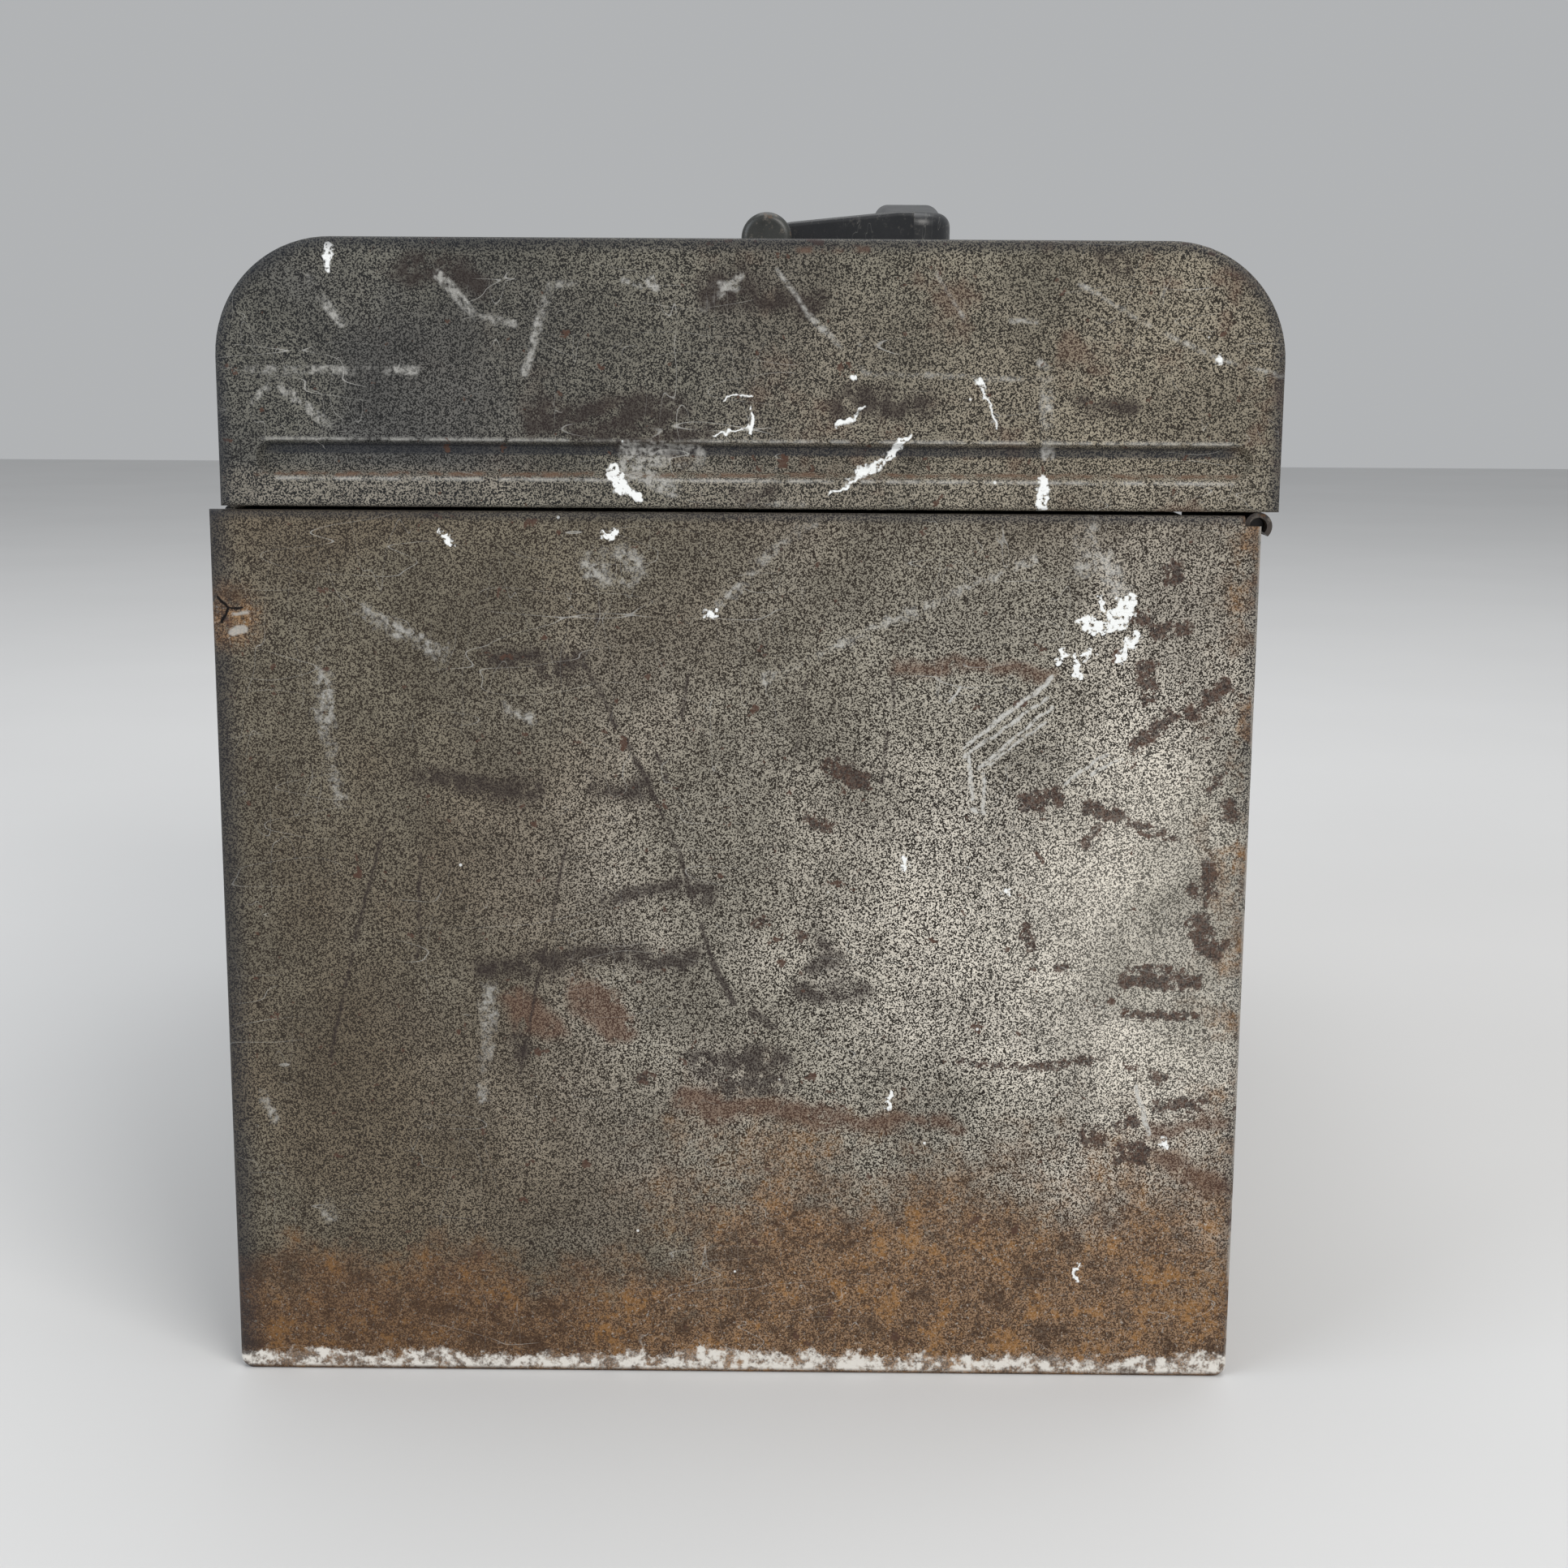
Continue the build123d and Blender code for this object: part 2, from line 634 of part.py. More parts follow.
def clasp_pin(side, sign):
    """Pin across the two ears, with a flat head outside each."""
    ear_outer = CLASP_WIDTH / 2 + CLASP_GAP + CLASP_SHEET
    with BuildPart() as pin:
        for radius, low, high in (
            (CLASP_PIN_RADIUS, -ear_outer, ear_outer),
            (CLASP_PIN_HEAD_RADIUS, -ear_outer - CLASP_PIN_HEAD, -ear_outer),
            (CLASP_PIN_HEAD_RADIUS, ear_outer, ear_outer + CLASP_PIN_HEAD),
        ):
            with BuildSketch(across(sign * CLASP_Y + low)):
                with Locations((CLASP_X, CLASP_Z)):
                    Circle(radius)
            extrude(amount=low - high)
    save(pin, f"clasp_pin_{side}")


def strike(side, sign):
    """Angle on the lid's front whose ledge the clasp hooks over."""
    y = sign * CLASP_Y
    with BuildPart() as angle:
        slab((LID_FRONT - CLASP_SHEET, y - STRIKE_WIDTH / 2, LID_FLOOR + STRIKE_FOOT),
             (LID_FRONT, y + STRIKE_WIDTH / 2, LEDGE_TOP))
        slab((LID_FRONT - STRIKE_LEDGE, y - STRIKE_WIDTH / 2, LEDGE_TOP - CLASP_SHEET),
             (LID_FRONT, y + STRIKE_WIDTH / 2, LEDGE_TOP))
        drill(strike_seats(sign), 2 * CLASP_SHEET)
    save(angle, f"strike_{side}")


os.makedirs("parts", exist_ok=True)
body_wrapper()
lid_wrapper()
hinge()
handle_grip()
handle_pins()
for side, sign in SIDES.items():
    body_end(side, sign)
    lid_end(side, sign)
    handle_saddle(side, sign)
    handle_plate(side, sign)
    latch_base(side, sign)
    clasp(side, sign)
    clasp_pin(side, sign)
    strike(side, sign)
rivets("handle_rivets", both_ends(saddle_seats), SADDLE_SHEET + SHEET + PLATE)
rivets("latch_rivets", both_ends(base_seats), CLASP_SHEET + SHEET)
rivets("strike_rivets", both_ends(strike_seats), CLASP_SHEET + SHEET + HEM_STEP)
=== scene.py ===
"""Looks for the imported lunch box: worn grained enamel, black handle, plated clasps, soft studio."""
from math import radians

import bpy
from mathutils import Euler, Matrix, Vector


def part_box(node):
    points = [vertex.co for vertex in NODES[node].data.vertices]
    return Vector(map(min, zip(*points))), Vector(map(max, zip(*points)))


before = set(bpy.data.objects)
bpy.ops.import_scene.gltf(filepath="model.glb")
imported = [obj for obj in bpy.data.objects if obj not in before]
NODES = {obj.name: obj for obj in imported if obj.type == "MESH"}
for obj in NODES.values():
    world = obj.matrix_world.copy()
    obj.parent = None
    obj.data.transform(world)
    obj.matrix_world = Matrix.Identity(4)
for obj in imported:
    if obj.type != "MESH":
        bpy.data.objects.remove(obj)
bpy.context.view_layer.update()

# The box's own sizes, in millimetres.
MM = 0.001
body_low, body_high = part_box("body_end_right")
lid_low, lid_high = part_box("lid_end_right")
HALF_WIDTH = body_high[0] / MM
HALF_LENGTH = -body_low[1] / MM
RIM = body_high[2] / MM
LID_MIDDLE = (lid_low[0] + lid_high[0]) / 2 / MM
LID_HALF_WIDTH = (lid_high[0] - lid_low[0]) / 2 / MM
LID_BOTTOM = lid_low[2] / MM
LID_TOP = lid_high[2] / MM
SHOULDER = 22.5
LIP_INNER = 1.7 - HALF_LENGTH
GROOVE_TOP = LID_BOTTOM + 12.7
GROOVE_FOOT = LID_BOTTOM + 5.9


# ---------------------------------------------------------------- node arithmetic


class Field:
    """A number that varies over a surface. Arithmetic on it adds Math nodes."""

    def __init__(self, graph, socket):
        self.graph = graph
        self.socket = socket

    def __add__(self, other):
        return self.graph.math("ADD", self, other)

    def __sub__(self, other):
        return self.graph.math("SUBTRACT", self, other)

    def __rsub__(self, other):
        return self.graph.math("SUBTRACT", other, self)

    def __mul__(self, other):
        return self.graph.math("MULTIPLY", self, other)

    __radd__ = __add__
    __rmul__ = __mul__


class Graph:
    """One material's nodes, with its coordinates in millimetres of the object's own frame."""

    def __init__(self, name):
        self.material = bpy.data.materials.new(name)
        self.material.use_nodes = True
        self.tree = self.material.node_tree
        self.shader = self.tree.nodes["Principled BSDF"]
        self.place = self.node("ShaderNodeTexCoord")
        scale = self.node("ShaderNodeVectorMath", operation="SCALE")
        scale.inputs["Scale"].default_value = 1 / MM
        self.tree.links.new(self.place.outputs["Object"], scale.inputs[0])
        self.point = scale.outputs[0]
        split = self.node("ShaderNodeSeparateXYZ")
        self.tree.links.new(self.point, split.inputs[0])
        self.x, self.y, self.z = (Field(self, socket) for socket in split.outputs)

    def node(self, kind, **settings):
        made = self.tree.nodes.new(kind)
        for key, value in settings.items():
            setattr(made, key, value)
        return made

    def put(self, socket, value):
        """Links a field or a socket, or sets a plain value."""
        if isinstance(value, Field):
            value = value.socket
        if isinstance(value, bpy.types.NodeSocket):
            self.tree.links.new(value, socket)
        elif isinstance(value, tuple) and socket.type == "RGBA":
            socket.default_value = (*value, 1)
        else:
            socket.default_value = value

    def math(self, operation, first, second=0.0):
        made = self.node("ShaderNodeMath", operation=operation)
        self.put(made.inputs[0], first)
        self.put(made.inputs[1], second)
        return Field(self, made.outputs[0])

    def least(self, first, second):
        return self.math("MINIMUM", first, second)

    def most(self, first, second):
        return self.math("MAXIMUM", first, second)

    def absolute(self, value):
        return self.math("ABSOLUTE", value)

    def smooth(self, value, low, high):
        """0 below low and 1 above high, or the other way round where low is the larger."""
        made = self.node("ShaderNodeMapRange", interpolation_type="SMOOTHSTEP", clamp=False)
        self.put(made.inputs["Value"], value)
        made.inputs["From Min"].default_value = low
        made.inputs["From Max"].default_value = high
        return Field(self, made.outputs[0])

    def noise(self, scale, detail=2.0, roughness=0.5, distortion=0.0, at=None):
        """Noise between 0 and 1, on a lattice of 1 / scale millimetres."""
        made = self.node("ShaderNodeTexNoise")
        self.put(made.inputs["Vector"], at or self.point)
        made.inputs["Scale"].default_value = scale
        made.inputs["Detail"].default_value = detail
        made.inputs["Roughness"].default_value = roughness
        made.inputs["Distortion"].default_value = distortion
        return Field(self, made.outputs["Fac"])

    def cells(self, scale):
        """Distance to the nearest of scattered points, 1 being their spacing of 1 / scale."""
        made = self.node("ShaderNodeTexVoronoi", feature="F1")
        self.put(made.inputs["Vector"], self.point)
        made.inputs["Scale"].default_value = scale
        return Field(self, made.outputs["Distance"])

    def stretched(self, x, y, z):
        """The coordinates scaled along each axis: a larger factor gives finer streaks across it."""
        made = self.node("ShaderNodeVectorMath", operation="MULTIPLY")
        self.put(made.inputs[0], self.point)
        made.inputs[1].default_value = (x, y, z)
        return made.outputs[0]

    def mix(self, amount, first, second):
        """Colour that goes from first to second as amount goes from 0 to 1."""
        made = self.node("ShaderNodeMix", data_type="RGBA")
        self.put(made.inputs["Factor"], amount)
        self.put(made.inputs[6], first)
        self.put(made.inputs[7], second)
        return made.outputs[2]

    def blend(self, amount, first, second):
        """Number that goes from first to second as amount goes from 0 to 1."""
        made = self.node("ShaderNodeMix", data_type="FLOAT")
        self.put(made.inputs["Factor"], amount)
        self.put(made.inputs[2], first)
        self.put(made.inputs[3], second)
        return Field(self, made.outputs[0])

    def coat(self, colour, roughness, metal=0.0):
        """Starts the surface: its colour, roughness and metal, with no relief."""
        self.colour = colour
        self.roughness = roughness
        self.metal = metal
        self.relief = 0.0

    def cover(self, mask, colour, roughness, height=0.0, metal=0.0):
        """Lays something over the surface where mask is 1. Height is in millimetres."""
        self.colour = self.mix(mask, self.colour, colour)
        self.roughness = self.blend(mask, self.roughness, roughness)
        if metal or self.metal:
            self.metal = self.blend(mask, self.metal, metal)
        if height:
            self.raise_by(mask * height)

    def raise_by(self, height):
        self.relief = height + self.relief

    def finish(self, specular=0.5):
        """Wires the surface into the shader."""
        made = self.node("ShaderNodeBump")
        made.inputs["Distance"].default_value = MM
        self.put(made.inputs["Height"], self.relief)
        self.put(self.shader.inputs["Normal"], made.outputs["Normal"])
        self.put(self.shader.inputs["Base Color"], self.colour)
        self.put(self.shader.inputs["Roughness"], self.roughness)
        self.put(self.shader.inputs["Metallic"], self.metal)
        self.put(self.shader.inputs["Specular IOR Level"], specular)
        return self.material


# ---------------------------------------------------------------- marks


# Marks on the near end of the body and of the lid. Each is a stroke from (x, z) to (x, z) with
# a half-width, in millimetres of the frame, so that a mark can be moved or left out by hand.
BODY_PAINT = [
    (76, 159, 74, 156, 2.0), (68, 156, 71, 155, 1.4), (71, 160, 71, 158, 0.7),
    (78, 153, 77, 152, 1.1), (76, 151, 75, 148, 0.6), (64, 150, 63, 148, 0.6),
    (66, 149, 67, 145, 0.5), (69, 150, 68, 149, 0.6), (34, 108, 34, 107, 0.7),
    (-25, 172, -23, 172, 0.8), (-5, 157, -4, 157, 0.8), (32, 60, 31, 58, 0.7),
    (70, 24, 70, 20, 0.4), (87, 51, 87, 50, 0.5), (54, 102, 54, 102, 0.5),
    (-56, 172, -55, 170, 0.7),
]
BODY_SCRATCH = [
    (62, 145, 45, 131, 0.4), (61, 141, 45, 129, 0.35), (62, 139, 48, 127, 0.3),
    (61, 136, 50, 128, 0.2), (46, 129, 47, 121, 0.4), (47, 119, 49, 118, 0.5),
    (49, 118, 49, 126, 0.3), (73, 130, 65, 124, 0.3), (76, 129, 70, 126, 0.3),
    (81, 62, 84, 52, 0.4), (44, 143, 42, 140, 0.2),
]
BODY_CHALK = [
    (-3, 159, 4, 165, 0.5), (5, 167, 15, 175, 0.9), (-26, 166, -21, 166, 3.6),
    (-80, 150, -80, 133, 1.4), (-80, 133, -78, 120, 1.1), (-49, 81, -50, 59, 1.3),
    (-72, 157, -57, 149, 1.1), (6, 144, 31, 156, 0.25), (31, 156, 58, 168, 0.25),
    (-95, 59, -93, 53, 0.4), (-83, 36, -82, 33, 1.1), (68, 176, 67, 166, 1.8),
    (71, 168, 75, 161, 1.8), (-48, 139, -40, 136, 0.7),
]
BODY_SMUDGE = [
    (-48, 148, -30, 148, 1.6), (-36, 147, -32, 147, 2.6), (-62, 124, -38, 123, 1.6),
    (-27, 123, -17, 123, 1.6), (-25, 100, -12, 102, 1.5), (-11, 102, -4, 101, 2.0),
    (-49, 86, -9, 88, 2.4), (-6, 66, 10, 66, 2.8), (-4, 62, 9, 62, 2.2), (13, 82, 25, 82, 1.6),
    (16, 87, 23, 87, 0.8), (17, 91, 22, 88, 0.8), (-12, 88, -9, 85, 2.0),
    (-43, 73, -43, 68, 1.5),
]
BODY_CHIP = [
    (19, 127, 25, 124, 2.0), (15, 117, 18, 115, 1.4), (58, 120, 63, 121, 2.2),
    (70, 119, 75, 118, 1.6), (75, 118, 87, 113, 0.6), (69, 112, 72, 115, 0.8),
    (80, 147, 81, 142, 2.0), (79, 132, 85, 137, 1.6), (89, 138, 96, 144, 1.4),
    (84, 165, 85, 166, 2.0), (77, 157, 80, 156, 1.3), (82, 154, 87, 155, 1.5),
    (97, 120, 98, 118, 1.5), (94, 108, 94, 101, 1.4), (91, 103, 91, 102, 1.4),
    (92, 96, 94, 91, 2.3), (78, 84, 92, 84, 1.6), (79, 86, 87, 86, 1.2), (78, 77, 93, 77, 0.9),
    (84, 65, 86, 64, 1.3), (86, 58, 94, 59, 1.4), (72, 52, 73, 51, 2.2), (79, 48, 82, 48, 2.6),
    (78, 54, 81, 55, 1.2), (58, 94, 59, 91, 1.2), (65, 87, 66, 87, 1.0), (4, 95, 6, 96, 0.8),
    (13, 93, 14, 93, 1.0), (96, 89, 98, 92, 1.0), (95, 125, 93, 123, 0.8),
    (45, 67, 60, 66, 0.6), (60, 66, 74, 68, 0.6), (-19, 63, -16, 64, 0.9),
]
BODY_LINE = [
    (-26, 159, -27, 153, 0.4), (-29, 147, -23, 135, 0.5), (-23, 135, -17, 124, 0.5),
    (-17, 124, -10, 107, 0.5), (-10, 107, -4, 87, 0.5), (-4, 87, 0, 79, 0.7),
    (4, 77, 8, 74, 1.0), (31, 146, 31, 139, 0.4), (30, 134, 29, 124, 0.4),
    (-69, 114, -75, 93, 0.3), (-75, 93, -81, 67, 0.3), (-62, 109, -63, 88, 0.25),
    (-9, 145, -10, 137, 0.3), (14, 145, 12, 129, 0.3), (-15, 129, -13, 124, 0.3),
    (-33, 111, -43, 64, 0.2),
]
BODY_RUST = [
    (32, 147, 61, 146, 1.0), (-9, 58, 20, 55, 2.4), (20, 55, 45, 54, 1.4),
    (-43, 78, -37, 73, 3.0), (-30, 80, -24, 74, 3.5), (85, 53, 98, 55, 1.6), (88, 47, 97, 42, 3.0),
]
LID_PAINT = [
    (-23, 184, -22, 181, 1.5), (-21, 181, -18, 179, 0.8), (18, 180, 24, 184, 0.3),
    (24, 184, 28, 186, 0.9), (28, 186, 33, 191, 0.5), (59, 183, 59, 178, 1.0),
    (20, 193, 22, 194, 0.5), (22, 194, 25, 197, 0.2), (22, 202, 23, 202, 0.5),
    (3, 196, 3, 192, 0.4), (-2, 198, 3, 199, 0.15), (-4, 191, 3, 193, 0.15),
    (-77, 226, -77, 222, 0.7), (47, 200, 50, 193, 0.2), (46, 202, 47, 201, 0.5),
    (91, 206, 92, 206, 0.3),
]
LID_CHALK = [
    (-20, 188, -8, 187, 2.4), (-21, 185, -12, 181, 1.6), (3, 178, 13, 178, 0.7),
    (59, 202, 60, 188, 1.3), (58, 205, 60, 203, 0.8), (65, 220, 77, 213, 0.3),
    (77, 213, 92, 206, 0.4), (92, 206, 104, 203, 0.3), (38, 222, 46, 209, 0.3),
    (52, 213, 57, 213, 0.4), (-16, 220, -15, 219, 0.8), (-21, 220, -18, 219, 0.5),
    (-7, 220, 0, 219, 0.8), (-97, 203, -61, 203, 0.8), (-35, 219, -40, 203, 0.8),
    (-35, 219, -28, 220, 0.6), (-56, 221, -50, 214, 1.0), (-49, 213, -42, 212, 0.8),
    (-6, 215, 1, 221, 0.7), (8, 222, 14, 214, 0.4), (14, 214, 25, 203, 0.5),
    (25, 203, 59, 202, 0.4), (-81, 220, -75, 212, 0.8), (-88, 201, -78, 193, 1.0),
    (-88, 201, -92, 197, 0.6),
]
LID_SMUDGE = [
    (21, 197, 36, 198, 2.4), (66, 197, 76, 197, 2.0), (70, 225, 73, 223, 1.6),
    (-37, 194, -12, 196, 3.2), (-30, 191, -5, 190, 2.0), (-62, 222, -50, 220, 3.0),
    (-4, 219, 14, 216, 3.0), (0, 180, 7, 180, 1.6),
]
LID_RUST = [(12, 226, 25, 226, 0.6), (-92, 183.4, 98, 183.9, 0.2)]
# The tear near the top of the front corner: split edges, then the metal showing between them.
TEAR = [
    (-100, 159.5, -98.2, 157.6, 0.3), (-98.2, 157.6, -95.6, 157.4, 0.25),
    (-98.2, 157.6, -99.6, 154.6, 0.35),
]
TEAR_METAL = [(-97.2, 156.2, -94.8, 156.6, 0.3), (-97.6, 152.6, -95.6, 153.4, 0.8)]


def ragged(graph, reach, scale):
    """The point flattened onto the X-Z plane and pushed about, so that marks get ragged edges."""
    noise = graph.node("ShaderNodeTexNoise")
    graph.put(noise.inputs["Vector"], graph.point)
    noise.inputs["Scale"].default_value = scale
    noise.inputs["Detail"].default_value = 2.0
    push = graph.node("ShaderNodeVectorMath", operation="MULTIPLY_ADD")
    graph.put(push.inputs[0], noise.outputs["Color"])
    push.inputs[1].default_value = (2 * reach, 0, 2 * reach)
    push.inputs[2].default_value = (-reach, 0, -reach)
    flat = graph.node("ShaderNodeVectorMath", operation="MULTIPLY_ADD")
    graph.put(flat.inputs[0], graph.point)
    flat.inputs[1].default_value = (1, 0, 1)
    graph.put(flat.inputs[2], push.outputs[0])
    return flat.outputs[0]


def stroke(graph, at, mark, soft):
    """1 inside a straight round-ended stroke, falling to 0 over soft millimetres."""
    x1, z1, x2, z2, radius = mark
    run = Vector((x2 - x1, 0, z2 - z1))
    offset = graph.node("ShaderNodeVectorMath", operation="SUBTRACT")
    graph.put(offset.inputs[0], at)
    offset.inputs[1].default_value = (x1, 0, z1)
    along = graph.node("ShaderNodeVectorMath", operation="DOT_PRODUCT")
    graph.put(along.inputs[0], offset.outputs[0])
    along.inputs[1].default_value = run / max(run.length_squared, 0.01)
    held = graph.least(graph.most(along.outputs["Value"], 0.0), 1.0)
    nearest = graph.node("ShaderNodeVectorMath", operation="SCALE")
    nearest.inputs[0].default_value = run
    graph.put(nearest.inputs["Scale"], held)
    gap = graph.node("ShaderNodeVectorMath", operation="DISTANCE")
    graph.put(gap.inputs[0], offset.outputs[0])
    graph.put(gap.inputs[1], nearest.outputs[0])
    outer = radius + soft / 2
    inner = max(radius - soft / 2, 0)
    return graph.smooth(Field(graph, gap.outputs["Value"]), outer, inner)


def outward(graph):
    """1 on the outside of the near end and on its lip, 0 on its inside and its flange."""
    split = graph.node("ShaderNodeSeparateXYZ")
    graph.put(split.inputs[0], graph.place.outputs["Normal"])
    facing = graph.smooth(Field(graph, split.outputs["Y"]), 0.5, 0.2)
    return facing * graph.smooth(graph.y, LIP_INNER + 0.7, LIP_INNER)


def strokes(graph, at, marks, soft):
    """The strongest of several strokes, on the outside only."""
    found = stroke(graph, at, marks[0], soft)
    for mark in marks[1:]:
        found = graph.most(found, stroke(graph, at, mark, soft))
    return found * outward(graph)


# ---------------------------------------------------------------- enamel


# The finish's grain is a noise of this scale, per millimetre. Colours are linear.
GRAIN = 3.9
RUST_SPECK = (0.285, 0.170, 0.092)
RUST_GROUND = (0.050, 0.026, 0.014)
RUST_ORANGE = (0.320, 0.155, 0.045)
RUST_STAIN = (0.150, 0.090, 0.060)
CHIP = (0.072, 0.037, 0.025)
SMUDGE = (0.026, 0.018, 0.016)
CHALK = (0.50, 0.49, 0.46)
PAINT = (0.84, 0.85, 0.84)
BARE = (0.52, 0.47, 0.41)
SCRAPED = (0.70, 0.67, 0.62)
SHADE = (0.016, 0.018, 0.024)
GAP = (0.004, 0.003, 0.003)
OLIVE = (0.215, 0.205, 0.160)


def speckle_and_glints(graph):
    """1 on the light specks of the wrinkle finish and 0 in the dark valleys between them. The light
    specks also stand in for glints of light on the grain's bumps, so they are partly a painted
    highlight.
    """
    return graph.smooth(graph.noise(GRAIN, detail=1.0, roughness=0.5), 0.46, 0.55)


def distance(graph, x, z, squash=1.0):
    """Distance in the X-Z plane from a point, with heights counted squash times over."""
    dx = graph.x - x
    dz = (graph.z - z) * squash
    return graph.math("SQRT", dx * dx + dz * dz)


def wrinkle(graph, specks, dark, light, rough):
    """The finish itself: light specks, which are partly painted glints, over a dark ground, patchy in
    tone and warmth.
    """
    patch = graph.smooth(graph.noise(0.05, detail=4.0, roughness=0.6, distortion=0.5), 0.35, 0.65)
    grey = graph.smooth(graph.noise(0.021, detail=3.0), 0.40, 0.60)
    toned = graph.mix(grey * 0.45, light, OLIVE)
    toned = graph.mix(patch * 0.30, toned, dark)
    graph.coat(graph.mix(specks, dark, toned), rough)
    graph.raise_by(specks * 0.02)


def rust(graph, specks):
    """Rust over the wrinkle: the specks show through it, with orange bloom and dark pits."""
    stained = graph.mix(0.1 + specks * 0.8, RUST_GROUND, RUST_SPECK)
    blotch = graph.noise(0.13, detail=7.0, roughness=0.8)
    orange = graph.smooth(blotch, 0.52, 0.62)
    dark = graph.smooth(blotch, 0.49, 0.40)
    stained = graph.mix(orange * 0.7, stained, RUST_ORANGE)
    stained = graph.mix(patchy(graph, 0.9, 0.55, 0.61) * 0.75, stained, RUST_GROUND)
    stained = graph.mix(patchy(graph, 1.4, 0.58, 0.64) * 0.5, stained, CHALK)
    return graph.mix(dark * 0.8, stained, RUST_GROUND)


def band(graph, height, half):
    """1 on a level stripe: its middle is at height, and it reaches half above and below."""
    return graph.smooth(graph.absolute(graph.z - height), half + 0.4, half - 0.4)


def patchy(graph, scale, low, high):
    """Breaks a mark up, so that it covers in some places and misses others."""
    return graph.smooth(graph.noise(scale, detail=4.0, roughness=0.65), low, high)


def smeared(graph):
    """Streaky cover of a chalky smear."""
    return patchy(graph, 0.9, 0.36, 0.64) * patchy(graph, 0.1, 0.36, 0.56)


def flecks(graph):
    """Tiny pale spots and pits that turn up all over."""
    spot = graph.smooth(graph.cells(0.11), 0.042, 0.024) * patchy(graph, 0.03, 0.46, 0.54)
    graph.cover(spot * 0.8, PAINT, 0.4)
    pit = graph.smooth(graph.noise(0.34, detail=3.0, roughness=0.6), 0.685, 0.71)
    graph.cover(pit * 0.8, CHIP, 0.6)


def hairlines(graph, across, strength, width=0.0024, spread=0.04):
    """Long faint scratches that run mostly along one direction, in patches."""
    hair = graph.noise(0.035, detail=0.5, at=graph.stretched(*across))
    line = graph.smooth(graph.absolute(hair - 0.5), width, width / 4)
    graph.cover(line * patchy(graph, spread, 0.50, 0.58) * strength, CHALK, 0.5)


def middle_of(graph, a, b, c):
    """The second smallest of three distances."""
    return graph.most(graph.least(a, b), graph.least(graph.most(a, b), c))


def foot_edges(graph):
    """Height on the body's walls, and on its bottom the distance to the nearest wall."""
    a = HALF_WIDTH - graph.absolute(graph.x)
    b = HALF_LENGTH - graph.absolute(graph.y)
    return graph.most(graph.absolute(graph.z), graph.least(a, b))


def box_edges(graph):
    """Distance to the nearest outside edge of the body, in millimetres."""
    a = HALF_WIDTH - graph.absolute(graph.x)
    b = HALF_LENGTH - graph.absolute(graph.y)
    c = graph.least(graph.absolute(graph.z), graph.absolute(RIM - graph.z))
    return middle_of(graph, a, b, c)


def lid_depth(graph):
    """Distance inwards from the lid's round-shouldered outline, in millimetres."""
    across = graph.absolute(graph.x - LID_MIDDLE) - (LID_HALF_WIDTH - SHOULDER)
    upward = graph.z - (LID_TOP - SHOULDER)
    a = graph.most(across, 0.0)
    b = graph.most(upward, 0.0)
    outside = graph.math("SQRT", a * a + b * b)
    return SHOULDER - outside - graph.least(graph.most(across, upward), 0.0)


def lid_edges(graph):
    """Distance to the nearest outside edge of the lid, in millimetres."""
    a = graph.absolute(lid_depth(graph))
    b = HALF_LENGTH - graph.absolute(graph.y)
    c = graph.absolute(graph.z - LID_BOTTOM)
    return middle_of(graph, a, b, c)


def scattered_wear_and_edge_shade(graph, edge):
    """Stains, scratches, chips and splashes anywhere, painted shade along the edges, and edges rubbed
    bare.
    """
    nibble = graph.noise(0.4, detail=4.0, roughness=0.65)
    graph.cover(patchy(graph, 0.05, 0.56, 0.70) * 0.5, SMUDGE, 0.36)
    hairlines(graph, (1.5, 0.7, 9), 0.28, width=0.013)
    hairlines(graph, (6, 14, 1), 0.25, width=0.02, spread=0.027)
    graph.cover(patchy(graph, 0.12, 0.655, 0.675) * 0.9, CHIP, 0.62, height=-0.03)
    splash = graph.smooth(graph.cells(0.04), 0.045, 0.038) * graph.smooth(nibble, 0.44, 0.50)
    graph.cover(splash, PAINT, 0.4, height=0.05)
    flecks(graph)
    # Painted shade: a dark band along every outside edge, where the surface bends away from the
    # light.
    graph.cover(graph.smooth(edge, 2.4, 0.4) * 0.7, SHADE, 0.32)
    rubbed = graph.smooth(edge - nibble * 4, -1.7, -2.3) * patchy(graph, 0.03, 0.46, 0.58)
    graph.cover(rubbed * 0.6, BARE, 0.38, metal=0.7)


def edge_rust(graph, specks, edge, reach):
    """Rust that creeps in from an edge by about 10 mm, give or take half of reach."""
    creep = graph.noise(0.10, detail=5.0, roughness=0.7)
    mask = graph.smooth(edge + creep * 2 * reach, reach + 16, reach + 4)
    graph.cover(mask * 0.85, rust(graph, specks), 0.78, height=0.02)


def body_ground_and_painted_light(graph, drift):
    """The panel's finish, with a painted pool of light right of the middle and painted glints on the
    specks near the right edge. Returns its specks.
    """
    # Painted light: the finish is lighter in a pool right of the middle, where the key light falls.
    painted_light_pool = graph.smooth(distance(graph, 74, 88, 1.2) + drift * 70, 192, 42)
    # Painted highlight: near the right edge more specks glint.
    painted_glint_spot = graph.smooth(distance(graph, 86, 92, 0.8), 44, 6)
    light = graph.mix(painted_light_pool, (0.180, 0.146, 0.102), (0.780, 0.725, 0.630))
    dark = graph.mix(painted_light_pool, (0.026, 0.019, 0.013), (0.013, 0.010, 0.007))
    specks = graph.least(speckle_and_glints(graph) + painted_glint_spot * 0.16, 1.0)
    wrinkle(graph, specks, dark, light, 0.5)
    return specks


